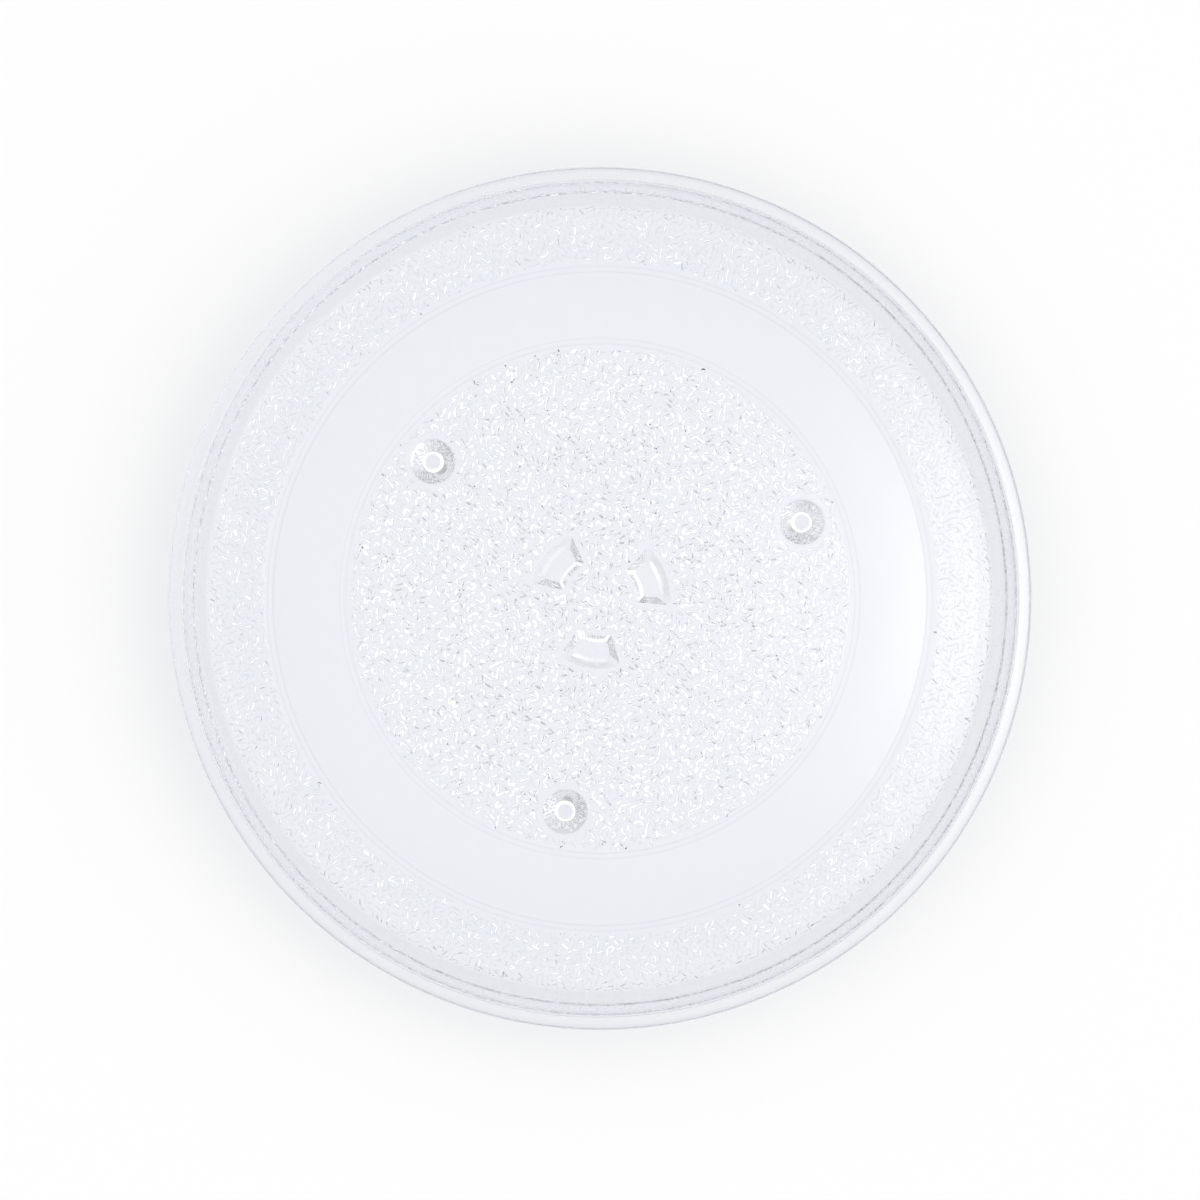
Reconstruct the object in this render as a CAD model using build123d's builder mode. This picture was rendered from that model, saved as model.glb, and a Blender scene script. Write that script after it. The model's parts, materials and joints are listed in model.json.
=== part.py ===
from build123d import *

import os
from math import degrees, radians, tan

# Pressed glass turntable plate of a microwave oven, moulded in one piece: a shallow dish with a
# sloping wall and a lipped rim, a smooth roller track between two beads on its underside, three
# drive lugs round the middle and three feet further out, each foot in line with a lug.
# +Z is up. The origin is on the axis of rotation, level with the tips of the feet.

# Dish
plate_diameter = 255.0  # over the rounded edge of the rim
floor_thickness = 5.0
dish_depth = 10.0  # from the food face up to the top of the rim
inner_slope = 63.0  # of the wall's inner face, in degrees from the horizontal
outer_slope = 71.0  # of its outer face
rim_width = 5.2  # from the inner to the outer edge of the rim's top
rim_inner_round = 2.0
rim_outer_round = 1.0
lip_width = 3.6  # how far the rim stands out beyond the wall
lip_height = 4.0
lip_round = 2.0  # along the lip's lower edge
lip_root_round = 0.8
floor_corner_round = 2.0
underside_corner_round = 10.0

# Roller track
track_inner_radius = 78.1
track_outer_radius = 97.2
bead_width = 2.4
bead_height = 0.5

# Feet and drive lugs
arm_count = 3  # one foot and one lug on each arm

foot_circle_radius = 64.5
foot_height = 5.7
foot_root_diameter = 13.8
foot_tip_diameter = 3.5  # before its edge is rounded
foot_root_round = 1.0
foot_tip_round = 3.2

lug_inner_radius = 11.0
lug_outer_radius = 21.0
lug_span = 53.0  # degrees, where the lug meets the underside
lug_height = 2.7
lug_inner_draft = 38.5  # degrees from the vertical
lug_outer_draft = 50.0
lug_side_draft = 38.5
lug_corner_round = 1.2
lug_tip_round = 0.3
lug_root_round = 0.5

# Levels and radii that follow from these
underside = foot_height
floor_middle = underside + floor_thickness / 2
food_face = underside + floor_thickness
rim_top = food_face + dish_depth
inner_run = 1 / tan(radians(inner_slope))  # outward run of the wall for each millimetre of height
outer_run = 1 / tan(radians(outer_slope))

plate_radius = plate_diameter / 2
rim_inner_radius = plate_radius - rim_width
lip_level = rim_top - lip_height
lip_root_radius = plate_radius - lip_width
floor_radius = rim_inner_radius - dish_depth * inner_run
underside_radius = lip_root_radius - (lip_level - underside) * outer_run
bead_radii = (track_inner_radius - bead_width / 2, track_outer_radius + bead_width / 2)

lug_mid_radius = (lug_inner_radius + lug_outer_radius) / 2
lug_tip_inner_radius = lug_inner_radius + lug_height * tan(radians(lug_inner_draft))
lug_tip_outer_radius = lug_outer_radius - lug_height * tan(radians(lug_outer_draft))
lug_side_run = lug_height * tan(radians(lug_side_draft))
lug_tip_span = lug_span - 2 * degrees(lug_side_run / lug_mid_radius)

# Foot: a blunt cone about its own axis, with its root flared into the underside
with BuildPart() as foot:
    with BuildSketch(Plane.XZ) as foot_section:
        with BuildLine():
            Polyline(
                (0, 0),
                (foot_tip_diameter / 2, 0),
                (foot_root_diameter / 2, foot_height),
                (foot_root_diameter, foot_height),
                (foot_root_diameter, floor_middle),
                (0, floor_middle),
                close=True,
            )
        make_face()
        tip_corner = foot_section.vertices().sort_by_distance((foot_tip_diameter / 2, 0))[0]
        fillet(tip_corner, foot_tip_round)
        root_corner = foot_section.vertices().sort_by_distance((foot_root_diameter / 2, foot_height))[0]
        fillet(root_corner, foot_root_round)
    revolve(axis=Axis.Z)

# Drive lug on the +X axis: a ring sector that narrows on every side towards its tip
lug_sections = (
    (underside, lug_inner_radius, lug_outer_radius, lug_span),
    (underside - lug_height, lug_tip_inner_radius, lug_tip_outer_radius, lug_tip_span),
)
with BuildPart() as lug:
    for level, inner_radius, outer_radius, span in lug_sections:
        with BuildSketch(Plane.XY.offset(level)):
            with BuildLine():
                inner_arc = CenterArc((0, 0), inner_radius, -span / 2, span)
                outer_arc = CenterArc((0, 0), outer_radius, -span / 2, span)
                Line(inner_arc @ 0, outer_arc @ 0)
                Line(inner_arc @ 1, outer_arc @ 1)
            make_face()
    loft()
    fillet(lug.edges().group_by(Axis.Z)[1], lug_corner_round)
    fillet(lug.faces().sort_by(Axis.Z)[0].edges(), lug_tip_round)

# Plate
with BuildPart() as plate:
    with BuildSketch(Plane.XZ) as dish_section:
        with BuildLine():
            Polyline(
                (0, underside),
                (underside_radius, underside),
                (lip_root_radius, lip_level),
                (plate_radius, lip_level),
                (plate_radius, rim_top),
                (rim_inner_radius, rim_top),
                (floor_radius, food_face),
                (0, food_face),
                close=True,
            )
        make_face()
        for corner, corner_round in (
            ((underside_radius, underside), underside_corner_round),
            ((lip_root_radius, lip_level), lip_root_round),
            ((plate_radius, lip_level), lip_round),
            ((plate_radius, rim_top), rim_outer_round),
            ((rim_inner_radius, rim_top), rim_inner_round),
            ((floor_radius, food_face), floor_corner_round),
        ):
            fillet(dish_section.vertices().sort_by_distance(corner)[0], corner_round)
    revolve(axis=Axis.Z)
    with BuildSketch(Plane.XZ):
        for bead_radius in bead_radii:
            with BuildLine():
                crown = ThreePointArc(
                    (bead_radius - bead_width / 2, underside),
                    (bead_radius, underside - bead_height),
                    (bead_radius + bead_width / 2, underside),
                )
                Line(crown @ 1, crown @ 0)
            make_face()
    revolve(axis=Axis.Z)
    with PolarLocations(foot_circle_radius, arm_count):
        add(foot.part)
    with PolarLocations(0, arm_count):
        add(lug.part)
    centre_face = plate.faces().filter_by(Axis.Z).sort_by(lambda face: len(face.inner_wires()))[-1]
    lug_roots = centre_face.inner_wires().sort_by_distance((0, 0, underside))[:arm_count]
    fillet(lug_roots.edges(), lug_root_round)

os.makedirs("parts", exist_ok=True)
plate.part.label = "glass_plate"
export_step(plate.part, "parts/glass_plate.step")
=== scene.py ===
import json
import math

import bmesh
import bpy
import numpy as np
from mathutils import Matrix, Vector, geometry


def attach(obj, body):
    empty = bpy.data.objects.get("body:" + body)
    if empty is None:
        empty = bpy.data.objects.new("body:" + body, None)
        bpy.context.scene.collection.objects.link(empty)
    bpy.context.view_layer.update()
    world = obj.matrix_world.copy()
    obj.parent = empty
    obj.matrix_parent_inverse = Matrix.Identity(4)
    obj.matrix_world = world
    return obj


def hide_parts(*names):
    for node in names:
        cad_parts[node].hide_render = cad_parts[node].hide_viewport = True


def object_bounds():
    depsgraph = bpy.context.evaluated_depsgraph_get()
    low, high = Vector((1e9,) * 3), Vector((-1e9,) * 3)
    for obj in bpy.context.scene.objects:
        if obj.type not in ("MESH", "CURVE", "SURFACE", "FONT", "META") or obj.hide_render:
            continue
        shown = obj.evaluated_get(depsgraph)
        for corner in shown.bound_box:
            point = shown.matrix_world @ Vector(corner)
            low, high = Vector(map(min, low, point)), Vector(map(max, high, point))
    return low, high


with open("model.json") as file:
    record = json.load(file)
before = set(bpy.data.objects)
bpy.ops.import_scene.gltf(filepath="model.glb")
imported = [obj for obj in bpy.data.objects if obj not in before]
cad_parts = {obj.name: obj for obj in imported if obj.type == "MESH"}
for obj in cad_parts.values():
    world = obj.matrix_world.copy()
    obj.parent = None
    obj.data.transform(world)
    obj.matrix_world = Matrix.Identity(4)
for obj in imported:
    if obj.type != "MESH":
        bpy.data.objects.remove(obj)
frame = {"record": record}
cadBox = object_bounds()
mounts = {mount["name"]: mount for mount in frame["record"]["mounts"]}
mm = 0.001  # lengths below are in millimetres, and meshes in metres
print("frame loaded")


def linear(hexColour):
    channels = [int(hexColour[i:i + 2], 16) / 255 for i in (1, 3, 5)]
    return [c / 12.92 if c <= 0.04045 else ((c + 0.055) / 1.055) ** 2.4 for c in channels] + [1.0]


def addNode(tree, kind, values=None, links=None, **settings):
    node = tree.nodes.new(kind)
    for name, value in settings.items():
        setattr(node, name, value)
    for socket, value in (values or {}).items():
        node.inputs[socket].default_value = value
    for socket, source in (links or {}).items():
        tree.links.new(source, node.inputs[socket])
    return node


# the dish, with what the frame holds read from there and the rest as the solid has it
plate = {
    "radius": cadBox[1][0] / mm,
    "rimTop": cadBox[1][2] / mm,
    "foodFace": mounts["food_face"]["pos_m"][2] / mm,
    "underside": mounts["roller_track"]["pos_m"][2] / mm,
    "innerSlope": 63.0,  # of the wall, in degrees from the horizontal
    "outerSlope": 71.0,
    "rimWidth": 5.2,
    "rimInnerRound": 2.0,
    "rimOuterRound": 1.0,
    "lipWidth": 3.6,  # how far the rim stands out beyond the wall
    "lipHeight": 4.0,
    "lipRound": 2.0,
    "lipRootRound": 0.8,
    "floorRound": 2.0,
    "undersideRound": 10.0,
    "stippleEdge": 118.5,  # where the stipple ends, measured along the glass
    "segments": 192,
    "bendSteps": 14,
}
armCount = 3
armAngles = [math.radians(360 / armCount * k) for k in range(armCount)]  # a lug and a foot stand on each
lead = 3.0  # any length, to give a level line its direction beyond a rounded corner

# the plate is one mesh of loops of points
points = []
faces = []
flatFaces = []  # facets of the stipple, which aren't shaded smooth


def addLoop(coords):
    start = len(points)
    points.extend(coords)
    return list(range(start, len(points)))


def bridge(first, second):
    for k in range(len(first)):
        n = (k + 1) % len(first)
        faces.append((first[k], first[n], second[n], second[k]))


def ring(radius, level, segments=plate["segments"], centre=(0, 0)):
    turns = [2 * math.pi * k / segments for k in range(segments)]
    return [(centre[0] + radius * math.cos(t), centre[1] + radius * math.sin(t), level) for t in turns]


def roundedLine(corners, stepDegrees=9.0):
    # a polyline of (x, y, round) with its corners turned into arcs
    line = [Vector(corners[0][:2])]
    for before, corner, after in zip(corners, corners[1:], corners[2:]):
        here = Vector(corner[:2])
        back = (Vector(before[:2]) - here).normalized()
        ahead = (Vector(after[:2]) - here).normalized()
        half = back.angle(ahead) / 2
        middle = here + (back + ahead).normalized() * corner[2] / math.sin(half)
        turn = math.pi - 2 * half
        start = here + back * corner[2] / math.tan(half) - middle
        side = 1 if back.x * ahead.y - back.y * ahead.x < 0 else -1
        steps = max(2, math.ceil(math.degrees(turn) / stepDegrees))
        for k in range(steps + 1):
            angle = side * turn * k / steps
            line.append(middle + Vector((
                start.x * math.cos(angle) - start.y * math.sin(angle),
                start.x * math.sin(angle) + start.y * math.cos(angle),
            )))
    line.append(Vector(corners[-1][:2]))
    return line


# drive lugs, which narrow on every side towards the tip, and blunt feet
lug = {
    "innerRadius": 11.0,
    "outerRadius": 21.0,
    "span": 53.0,  # degrees, at the root
    "height": 2.7,
    "innerDraft": 38.5,  # degrees from the vertical
    "outerDraft": 50.0,
    "sideDraft": 38.5,
    "cornerRound": 1.2,
    "tipRound": 0.3,
    "rootRound": 0.5,
    "roundStep": 12.0,  # degrees, over the tip and the root
    "outerSteps": 7,  # along half of the arc
    "innerSteps": 4,
    "sideSteps": 4,
    "cornerSteps": 5,
}
foot = {
    "circle": mounts["foot_tip_1"]["pos_m"][0] / mm,
    "rootRadius": 6.9,
    "tipRadius": 1.75,
    "rootRound": 1.0,
    "tipRound": 3.2,
    "segments": 40,
}
holes = []  # loops in the underside that lugs and feet hang from


def arc(reach, turn, radius, first, last, steps):
    # an arc round a middle that lies that far from the axis, at that turn
    angles = [first + (last - first) * k / steps for k in range(steps + 1)]
    return [(reach * math.cos(turn) + radius * math.cos(a), reach * math.sin(turn) + radius * math.sin(a))
            for a in angles]


def lugLoop(share):
    # outline of a lug on the +X axis, where its sides have come in by that share of their run
    inner = lug["innerRadius"] + share * lug["height"] * math.tan(math.radians(lug["innerDraft"]))
    outer = lug["outerRadius"] - share * lug["height"] * math.tan(math.radians(lug["outerDraft"]))
    sideRun = lug["height"] * math.tan(math.radians(lug["sideDraft"]))
    half = math.radians(lug["span"] / 2) - share * sideRun / ((lug["innerRadius"] + lug["outerRadius"]) / 2)
    corner = lug["cornerRound"]
    outerTurn = half - math.asin(corner / (outer - corner))
    innerTurn = half - math.asin(corner / (inner + corner))
    square = half + math.pi / 2  # at right angles to the side
    sideStart = math.sqrt((outer - corner) ** 2 - corner ** 2)
    sideEnd = math.sqrt((inner + corner) ** 2 - corner ** 2)
    loop = arc(0, 0, outer, 0, outerTurn, lug["outerSteps"])
    loop += arc(outer - corner, outerTurn, corner, outerTurn, square, lug["cornerSteps"])[1:]
    for k in range(1, lug["sideSteps"]):
        reach = sideStart + (sideEnd - sideStart) * k / lug["sideSteps"]
        loop.append((reach * math.cos(half), reach * math.sin(half)))
    loop += arc(inner + corner, innerTurn, corner, square, innerTurn + math.pi, lug["cornerSteps"])
    loop += arc(0, 0, inner, innerTurn, 0, lug["innerSteps"])[1:]
    return loop + [(x, -y) for x, y in reversed(loop[1:-1])]


def turned(loop, angle):
    c, s = math.cos(angle), math.sin(angle)
    return [(x * c - y * s, x * s + y * c) for x, y in loop]


def hang(loops):
    # joins the loops of a lug or a foot and closes its tip
    for first, second in zip(loops, loops[1:]):
        bridge(first, second)
    faces.append(tuple(loops[-1]))
    holes.append(loops[0])


lugRun = lug["height"] * math.tan(math.radians((lug["innerDraft"] + lug["outerDraft"]) / 2))
lugLine = roundedLine([
    (-lead, 0, 0),
    (0, 0, lug["rootRound"]),
    (lugRun, lug["height"], lug["tipRound"]),
    (lugRun + lead, lug["height"], 0),
], lug["roundStep"])[1:-1]
footLine = roundedLine([
    (foot["rootRadius"] + lead, 0, 0),
    (foot["rootRadius"], 0, foot["rootRound"]),
    (foot["tipRadius"], plate["underside"], foot["tipRound"]),
    (0, plate["underside"], 0),
])[1:-1]
for angle in armAngles:
    lugLoops = []
    for run, depth in lugLine:
        outline = turned(lugLoop(run / lugRun), angle)
        lugLoops.append(addLoop([(x, y, plate["underside"] - depth) for x, y in outline]))
    hang(lugLoops)
    centre = (foot["circle"] * math.cos(angle), foot["circle"] * math.sin(angle))
    footLoops = []
    for radius, depth in footLine:
        footLoops.append(addLoop(ring(radius, plate["underside"] - depth, foot["segments"], centre)))
    hang(footLoops)
print("lugs and feet made")

# the clear roller track between two low beads
track = {"innerRadius": 78.1, "outerRadius": 97.2, "beadWidth": 2.4, "beadHeight": 0.5, "beadSteps": 8}
beadRound = (track["beadWidth"] ** 2 / 4 + track["beadHeight"] ** 2) / (2 * track["beadHeight"])
beadSpan = math.asin(track["beadWidth"] / 2 / beadRound)
innerBead = track["innerRadius"] - track["beadWidth"] / 2
outerBead = track["outerRadius"] + track["beadWidth"] / 2
trackLoops = []
for middle in (innerBead, outerBead):
    for k in range(track["beadSteps"] + 1):
        angle = beadSpan * (2 * k / track["beadSteps"] - 1)
        sag = beadRound * math.cos(angle) - beadRound + track["beadHeight"]
        trackLoops.append(addLoop(ring(middle + beadRound * math.sin(angle), plate["underside"] - sag)))
for first, second in zip(trackLoops, trackLoops[1:]):
    bridge(first, second)

# section of the dish from the edge of the stipple up the wall, round the rim and down to the food face
innerRun = 1 / math.tan(math.radians(plate["innerSlope"]))
outerRun = 1 / math.tan(math.radians(plate["outerSlope"]))
rimInner = plate["radius"] - plate["rimWidth"]
floorEdge = rimInner - (plate["rimTop"] - plate["foodFace"]) * innerRun
lipLevel = plate["rimTop"] - plate["lipHeight"]
lipRoot = plate["radius"] - plate["lipWidth"]
undersideEdge = lipRoot - (lipLevel - plate["underside"]) * outerRun
bendStart = undersideEdge - plate["undersideRound"] * math.tan(math.radians(plate["outerSlope"] / 2))
bendFrom = (plate["stippleEdge"] - bendStart) / plate["undersideRound"]
bendEnd = math.radians(plate["outerSlope"])
section = []
for k in range(plate["bendSteps"] + 1):
    angle = bendFrom + (bendEnd - bendFrom) * k / plate["bendSteps"]
    section.append((bendStart + plate["undersideRound"] * math.sin(angle),
                    plate["underside"] + plate["undersideRound"] * (1 - math.cos(angle))))
section += roundedLine([
    section[-1] + (0,),
    (lipRoot, lipLevel, plate["lipRootRound"]),
    (plate["radius"], lipLevel, plate["lipRound"]),
    (plate["radius"], plate["rimTop"], plate["rimOuterRound"]),
    (rimInner, plate["rimTop"], plate["rimInnerRound"]),
    (floorEdge, plate["foodFace"], plate["floorRound"]),
    (floorEdge - lead, plate["foodFace"], 0),
])[1:-1]
dishLoops = [addLoop(ring(radius, level)) for radius, level in section]
for first, second in zip(dishLoops, dishLoops[1:]):
    bridge(first, second)
floorMiddle = addLoop([(0, 0, plate["foodFace"])])[0]
for k in range(plate["segments"]):
    faces.append((dishLoops[-1][k], dishLoops[-1][(k + 1) % plate["segments"]], floorMiddle))
print("track and dish made")

# stipple on the underside: points on a scattered grid, most of them grown together into short crooked ridges
stipple = {
    "pitch": 1.7,
    "jitter": 0.26,  # of the pitch
    "radius": 0.7,  # of a point's foot
    "height": 0.5,  # of a point that stands alone
    "ridgeHeight": 0.35,
    "ridgePoints": 8,  # in the longest ridge
    "ridgeNarrow": 0.55,  # least and most half width of a ridge's foot, of its height
    "ridgeWide": 1.7,
    "spread": 0.15,  # of the sizes, either way
    "fade": 0.2,  # how much lower the bumps get towards the edge of the disc
    "fadePower": 3,  # keeps the fade near that edge
    "bandScale": 0.75,  # of the sizes on the band outside the track
    "bandLift": 0.74,  # of the heights there, besides
    "margin": 0.9,  # kept clear beside beads, lugs, feet and the outer edge
    "seed": 7,
}
rng = np.random.default_rng(stipple["seed"])
discEdge = track["innerRadius"] - track["beadWidth"]
bandEdge = track["outerRadius"] + track["beadWidth"]
outerBorder = set(dishLoops[0])


def onUnderside(x, y, height=0.0):
    # a point of the unrolled underside, laid on the glass and lifted off it by height
    reach = math.hypot(x, y)
    if reach <= bendStart:
        return (x, y, plate["underside"] - height)
    bend = (reach - bendStart) / plate["undersideRound"]
    radius = bendStart + (plate["undersideRound"] + height) * math.sin(bend)
    middle = plate["underside"] + plate["undersideRound"]
    level = middle - (plate["undersideRound"] + height) * math.cos(bend)
    return (x / reach * radius, y / reach * radius, level)


def scatter(outer):
    pitch = stipple["pitch"]
    rowStep = 0.866 * pitch  # between the rows of a triangular grid
    spare = 2  # rows beyond the edge
    rows = int(outer / rowStep) + spare
    columns = rows + 2 * spare
    spots = []
    for row in range(-rows, rows + 1):
        for column in range(-columns, columns + 1):
            spots.append((pitch * (column + 0.5 * (row % 2)), rowStep * row))
    turn = rng.uniform(0, 2 * math.pi, len(spots))
    reach = stipple["jitter"] * pitch * np.sqrt(rng.uniform(0, 1, len(spots)))
    return np.array(spots) + np.stack([reach * np.cos(turn), reach * np.sin(turn)], axis=1)


def pickRidges(sides, plan, rimCount):
    # picks neighbours that grow together, in chains that don't fork or close
    ridges = set()
    ends = {}
    chain = {}
    order = list(sides)
    for k in rng.permutation(len(order)):
        a, b = order[k]
        if min(a, b) < rimCount or ends.get(a, 0) == 2 or ends.get(b, 0) == 2:
            continue
        first, second = chain.get(a, [a]), chain.get(b, [b])
        if first is second or len(first) + len(second) > stipple["ridgePoints"]:
            continue
        along = (plan[b] - plan[a]).normalized()
        widths = []
        for _, centre in sides[a, b]:
            for i in (a, b):
                aim = (centre - plan[i]).normalized() * stipple["radius"]
                widths.append(abs(along.x * aim.y - along.y * aim.x) / stipple["ridgeHeight"])
        if min(widths) < stipple["ridgeNarrow"] or max(widths) > stipple["ridgeWide"]:
            continue
        ridges.add((a, b))
        joined = first + second
        for i in joined:
            chain[i] = joined
        for i in (a, b):
            ends[i] = ends.get(i, 0) + 1
    return ridges, ends


def stippleZone(borders, spots, flat, inside, scale, lift):
    # borders are the loops round the zone, flat gives a border point's place on the unrolled underside,
    # inside says which triangles belong to the zone, and scale and lift set the bumps' sizes and heights
    rim = [i for loop in borders for i in loop]
    plan = [Vector(flat(i)) for i in rim] + [Vector(spot) for spot in spots]
    edges = []
    start = 0
    for loop in borders:
        edges += [(start + k, start + (k + 1) % len(loop)) for k in range(len(loop))]
        start += len(loop)
    wholeHull = 0  # gives triangles in holes too, and inside() leaves them out
    mergeWithin = 1e-6
    _, _, triangles, origin, _, _ = geometry.delaunay_2d_cdt(plan, edges, [], wholeHull, mergeWithin)
    size = scale * (1 + stipple["spread"] * rng.uniform(-1, 1, len(plan)))
    bases = {}
    peaks = {}
    sides = {}

    def base(i, key, centre):
        # where the foot of a bump stands in one of the triangles round it
        if i < len(rim):
            return rim[i]
        if (i, key) not in bases:
            aim = (centre - plan[i]).normalized() * stipple["radius"] * size[i]
            bases[i, key] = addLoop([onUnderside(*(plan[i] + aim))])[0]
        return bases[i, key]

    def peak(i):
        if i not in peaks:
            height = lift(plan[i]) * (stipple["ridgeHeight"] if i in ends else stipple["height"])
            peaks[i] = addLoop([onUnderside(*plan[i], height * size[i])])[0]
        return peaks[i]

    def addFacet(*corners):
        flatFaces.append(len(faces))
        faces.append(corners)

    # level glass between three bumps
    for key, triangle in enumerate(triangles):
        corners = [origin[i][0] for i in triangle]
        centre = (plan[corners[0]] + plan[corners[1]] + plan[corners[2]]) / 3
        if not inside(centre, max(corners) >= len(rim)):
            continue
        faces.append(tuple(base(i, key, centre) for i in corners))
        for a, b in ((0, 1), (1, 2), (2, 0)):
            sides.setdefault(tuple(sorted((corners[a], corners[b]))), []).append((key, centre))

    # between two bumps a roof where they make a ridge, or else a level strip and a facet of each
    ridges, ends = pickRidges(sides, plan, len(rim))
    for (a, b), found in sides.items():
        if len(found) == 1:
            continue
        (k1, c1), (k2, c2) = found
        if (a, b) in ridges:
            addFacet(bases[a, k1], bases[b, k1], peak(b), peak(a))
            addFacet(bases[b, k2], bases[a, k2], peak(a), peak(b))
            continue
        strip = [base(a, k1, c1), base(b, k1, c1), base(b, k2, c2), base(a, k2, c2)]
        strip = [p for k, p in enumerate(strip) if p not in strip[:k]]
        if len(strip) > 2:
            faces.append(tuple(strip))
        for i in (a, b):
            if i >= len(rim):
                addFacet(bases[i, k1], bases[i, k2], peak(i))
    return len(peaks)


def nearFoot(p, reach):
    return any(math.hypot(p[0] - foot["circle"] * math.cos(a), p[1] - foot["circle"] * math.sin(a)) <= reach
               for a in armAngles)


def nearLug(p, grow):
    radius = math.hypot(*p)
    if not lug["innerRadius"] - grow < radius < lug["outerRadius"] + grow:
        return False
    for a in armAngles:
        x = p[0] * math.cos(a) + p[1] * math.sin(a)
        y = -p[0] * math.sin(a) + p[1] * math.cos(a)
        if abs(math.atan2(y, x)) * radius < math.radians(lug["span"] / 2) * radius + grow:
            return True
    return False


def within(p, loop):
    # counts how often a line from p towards +X crosses the loop
    crossings = 0
    for i, j in zip(loop, loop[1:] + loop[:1]):
        (ax, ay, _), (bx, by, _) = points[i], points[j]
        if (ay > p[1]) != (by > p[1]) and p[0] < ax + (p[1] - ay) / (by - ay) * (bx - ax):
            crossings += 1
    return crossings % 2 == 1


def discPlan(i):
    return points[i][:2]


def bandPlan(i):
    # the outer border lies on the bend and is unrolled
    x, y, _ = points[i]
    grow = plate["stippleEdge"] / math.hypot(x, y) if i in outerBorder else 1
    return (x * grow, y * grow)


def inDisc(centre, hasSpot):
    return hasSpot or not any(within(centre, loop) for loop in holes)


def inBand(centre, hasSpot):
    return centre.length > bandEdge


def discLift(p):
    return 1 - stipple["fade"] * (p.length / discEdge) ** stipple["fadePower"]


def bandLift(p):
    return stipple["bandLift"]


margin = stipple["margin"]
footReach = footLine[0][0] + margin
lugReach = margin - lugLine[0][0]
discSpots = []
bandSpots = []
for spot in scatter(plate["stippleEdge"]):
    reach = np.hypot(*spot)
    if reach < discEdge - margin and not nearFoot(spot, footReach) and not nearLug(spot, lugReach):
        discSpots.append(spot)
    if bandEdge + margin < reach < plate["stippleEdge"] - margin:
        bandSpots.append(spot)
discBorders = [trackLoops[0]] + holes
bandBorders = [trackLoops[-1], dishLoops[0]]
bumps = stippleZone(discBorders, discSpots, discPlan, inDisc, 1.0, discLift)
bumps += stippleZone(bandBorders, bandSpots, bandPlan, inBand, stipple["bandScale"], bandLift)
print("stipple made, bumps:", bumps)

mesh = bpy.data.meshes.new("glassPlate")
mesh.from_pydata([(x * mm, y * mm, z * mm) for x, y, z in points], [], faces)
shape = bmesh.new()
shape.from_mesh(mesh)
bmesh.ops.recalc_face_normals(shape, faces=shape.faces)
shape.faces.ensure_lookup_table()
for face in shape.faces:
    face.smooth = True
for i in flatFaces:
    shape.faces[i].smooth = False
openEdges = sum(1 for edge in shape.edges if len(edge.link_faces) != 2)
triangles = sum(len(face.verts) - 2 for face in shape.faces)
shape.to_mesh(mesh)
shape.free()
glassPlate = bpy.data.objects.new("glassPlate", mesh)
bpy.context.scene.collection.objects.link(glassPlate)
# keeps level glass level up to the rounds beside it
normals = glassPlate.modifiers.new("normals", "WEIGHTED_NORMAL")
normals.keep_sharp = True
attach(glassPlate, "root")
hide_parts("glass_plate")
print("plate made, open edges:", openEdges, "triangles:", triangles)

# pressed soda-lime glass: clear with a cool grey cast in the thick, fire-polished but slightly wavy,
# so the eye sees it by bent light, glints and thin dark lines at its edges
glassFinish = {
    "colour": "#FAFAFC",
    "ior": 1.52,
    "roughness": 0.0,
    "waveLength": 22.0,
    "waveHeight": 0.03,
    "waveDetail": 1.0,
    "bodyColour": "#E7E8EB",
    "bodyDensity": 11.0,  # per metre
    "lightPassed": "#F9FAFC",
    "lightThrownAside": "#8A8E94",
    "steep": 0.2,  # upward part of the normal
    "level": 0.55,
}
glass = bpy.data.materials.new("pressedSodaLimeGlass")
glass.use_nodes = True
tree = glass.node_tree
tree.nodes.clear()
place = addNode(tree, "ShaderNodeTexCoord").outputs["Object"]
swell = addNode(tree, "ShaderNodeTexNoise", {
    "Scale": 1 / (glassFinish["waveLength"] * mm),
    "Detail": glassFinish["waveDetail"],
}, {"Vector": place}).outputs["Fac"]
wavy = addNode(tree, "ShaderNodeBump", {
    "Distance": glassFinish["waveHeight"] * mm,
}, {"Height": swell}).outputs["Normal"]
clear = addNode(tree, "ShaderNodeBsdfPrincipled", {
    "Base Color": linear(glassFinish["colour"]),
    "Roughness": glassFinish["roughness"],
    "IOR": glassFinish["ior"],
    "Transmission Weight": 1.0,
}, {"Normal": wavy}).outputs["BSDF"]
# lamps shine through: level glass passes their light on, and steep sides throw it aside
normal = addNode(tree, "ShaderNodeNewGeometry").outputs["Normal"]
upward = addNode(tree, "ShaderNodeSeparateXYZ", links={"Vector": normal}).outputs["Z"]
flatness = addNode(tree, "ShaderNodeMath", links={0: upward}, operation="ABSOLUTE").outputs["Value"]
passed = addNode(tree, "ShaderNodeMapRange", {
    "From Min": glassFinish["steep"],
    "From Max": glassFinish["level"],
}, {"Value": flatness}, interpolation_type="SMOOTHSTEP").outputs["Result"]
tint = addNode(tree, "ShaderNodeMix", {  # sockets 6 and 7 and output 2 are its colours
    6: linear(glassFinish["lightThrownAside"]),
    7: linear(glassFinish["lightPassed"]),
}, {0: passed}, data_type="RGBA").outputs[2]
letThrough = addNode(tree, "ShaderNodeBsdfTransparent", links={"Color": tint}).outputs["BSDF"]
path = addNode(tree, "ShaderNodeLightPath").outputs
lamp = addNode(tree, "ShaderNodeMath", links={0: path["Is Shadow Ray"], 1: path["Is Diffuse Ray"]},
               operation="MAXIMUM").outputs["Value"]
surface = addNode(tree, "ShaderNodeMixShader", links={0: lamp, 1: clear, 2: letThrough}).outputs["Shader"]
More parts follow.
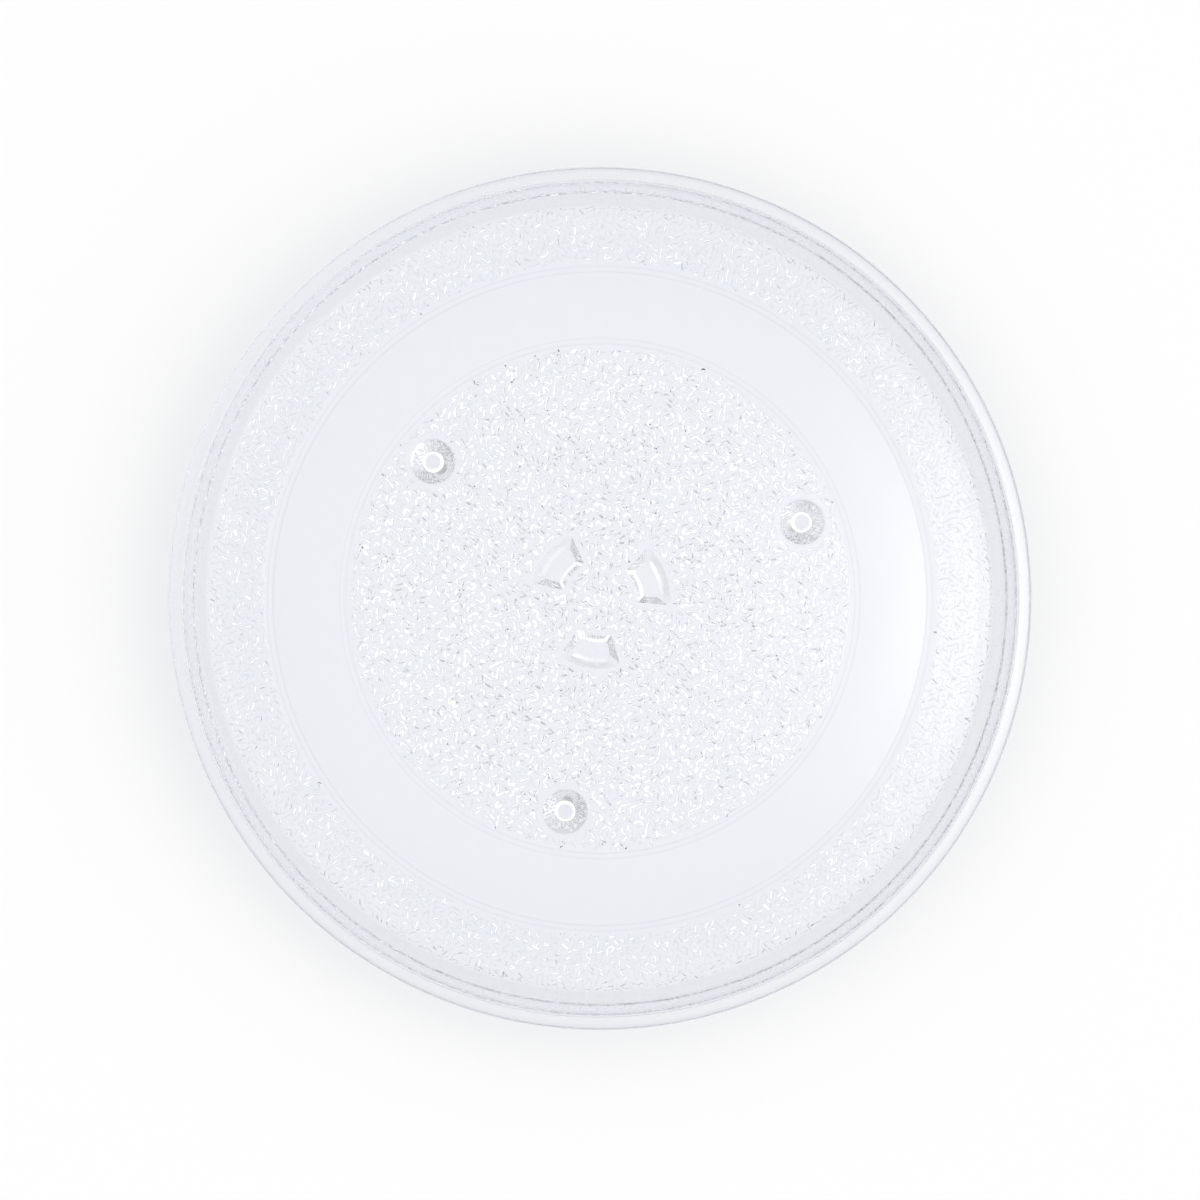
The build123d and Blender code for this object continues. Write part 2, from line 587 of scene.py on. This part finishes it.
body = addNode(tree, "ShaderNodeVolumeAbsorption", {
    "Color": linear(glassFinish["bodyColour"]),
    "Density": glassFinish["bodyDensity"],
}).outputs["Volume"]
addNode(tree, "ShaderNodeOutputMaterial", links={"Surface": surface, "Volume": body})
mesh.materials.append(glass)
print("glass made")

# matt white paper under the plate, even all over, so that the eye sees only the plate's soft shadow on it
stage = {
    "floorSize": 12.0,  # metres
    "floorColour": "#F8F8F8",
    "gap": 0.3,  # millimetres below the feet
}
floorMesh = bpy.data.meshes.new("floor")
half = stage["floorSize"] / 2
corners = [(-half, -half), (half, -half), (half, half), (-half, half)]
floorMesh.from_pydata([(x, y, -stage["gap"] * mm) for x, y in corners], [], [(0, 1, 2, 3)])
floor = bpy.data.objects.new("floor", floorMesh)
bpy.context.scene.collection.objects.link(floor)
paper = bpy.data.materials.new("mattWhitePaper")
paper.use_nodes = True
tree = paper.node_tree
tree.nodes.clear()
matt = addNode(tree, "ShaderNodeBsdfDiffuse", {"Color": linear(stage["floorColour"])}).outputs["BSDF"]
addNode(tree, "ShaderNodeOutputMaterial", links={"Surface": matt})
floorMesh.materials.append(paper)
print("floor made")

# camera straight above, with the plate's width and centre in pixels of the square picture
view = {
    "imageSize": 1200,
    "plateWidth": 864,
    "centreDown": 598.5,  # from the top edge
    "distance": 1.2,  # metres above the rim
    "turn": 20.7,  # degrees about the axis
    "sensorWidth": 36.0,
}
camera = bpy.data.cameras.new("camera")
cameraObject = bpy.data.objects.new("camera", camera)
bpy.context.scene.collection.objects.link(cameraObject)
camera.sensor_width = view["sensorWidth"]
focal = view["plateWidth"] / 2 * view["distance"] / (plate["radius"] * mm)  # in pixels
camera.lens = focal / view["imageSize"] * camera.sensor_width
camera.shift_y = (view["centreDown"] - view["imageSize"] / 2) / view["imageSize"]
cameraObject.location = (0, 0, plate["rimTop"] * mm + view["distance"])
cameraObject.rotation_euler = (0, 0, -math.radians(view["turn"]))
bpy.context.scene.camera = cameraObject
print("camera made")

# soft studio light: a white ceiling, walls that darken downwards, a softbox overhead, a window low
# on the right and a broad key lamp
light = {
    "zenith": 1.205,
    "horizon": 0.1,
    "wallTop": 0.1,  # sine of the elevation up to which the walls stay dark
    "key": 0.25,  # on the level floor
    "keyElevation": 62.0,
    "keyTurn": 20.0,
    "keyAngle": 60.0,
}
lobes = {  # the higher the focus, the smaller the lobe
    "softbox": {"strength": 2.3, "elevation": 83.0, "turn": -2.0, "focus": 500.0},
    "window": {"strength": 1.0, "elevation": 15.0, "turn": -25.0, "focus": 3.0},
}
world = bpy.data.worlds.new("studio")
bpy.context.scene.world = world
world.use_nodes = True
tree = world.node_tree
tree.nodes.clear()
direction = addNode(tree, "ShaderNodeTexCoord").outputs["Generated"]
height = addNode(tree, "ShaderNodeSeparateXYZ", links={"Vector": direction}).outputs["Z"]
total = addNode(tree, "ShaderNodeMapRange", {
    "From Min": light["wallTop"],
    "To Min": light["horizon"],
    "To Max": light["zenith"],
}, {"Value": height}, interpolation_type="SMOOTHSTEP").outputs["Result"]
for lobe in lobes.values():
    turn = math.radians(lobe["turn"] - view["turn"])
    rise = math.radians(lobe["elevation"])
    aim = Vector((math.cos(turn) * math.cos(rise), math.sin(turn) * math.cos(rise), math.sin(rise)))
    facing = addNode(tree, "ShaderNodeVectorMath", {1: aim}, {0: direction}, operation="DOT_PRODUCT")
    front = addNode(tree, "ShaderNodeMath", {1: 0.0}, {0: facing.outputs["Value"]}, operation="MAXIMUM")
    spot = addNode(tree, "ShaderNodeMath", {1: lobe["focus"]}, {0: front.outputs["Value"]}, operation="POWER")
    total = addNode(tree, "ShaderNodeMath", {1: lobe["strength"]}, {0: spot.outputs["Value"], 2: total},
                    operation="MULTIPLY_ADD").outputs["Value"]
glow = addNode(tree, "ShaderNodeBackground", {"Color": linear("#FFFFFF")}, {"Strength": total})
addNode(tree, "ShaderNodeOutputWorld", links={"Surface": glow.outputs["Background"]})
key = bpy.data.lights.new("key", "SUN")
key.energy = light["key"] / math.sin(math.radians(light["keyElevation"]))
key.angle = math.radians(light["keyAngle"])
keyObject = bpy.data.objects.new("key", key)
keyTilt = math.radians(90 - light["keyElevation"])
keyObject.rotation_euler = (0, keyTilt, math.radians(light["keyTurn"] - view["turn"]))
keyObject.visible_transmission = False
keyObject.visible_glossy = False
bpy.context.scene.collection.objects.link(keyObject)
print("light made")

bpy.context.scene.view_settings.view_transform = "Standard"
bounces = {"inGlass": 32, "onPaper": 8}  # light runs far inside the glass
cycles = bpy.context.scene.cycles
cycles.max_bounces = bounces["inGlass"]
cycles.glossy_bounces = bounces["inGlass"]
cycles.transmission_bounces = bounces["inGlass"]
cycles.diffuse_bounces = bounces["onPaper"]
cycles.blur_glossy = 0.0  # keeps glints sharp
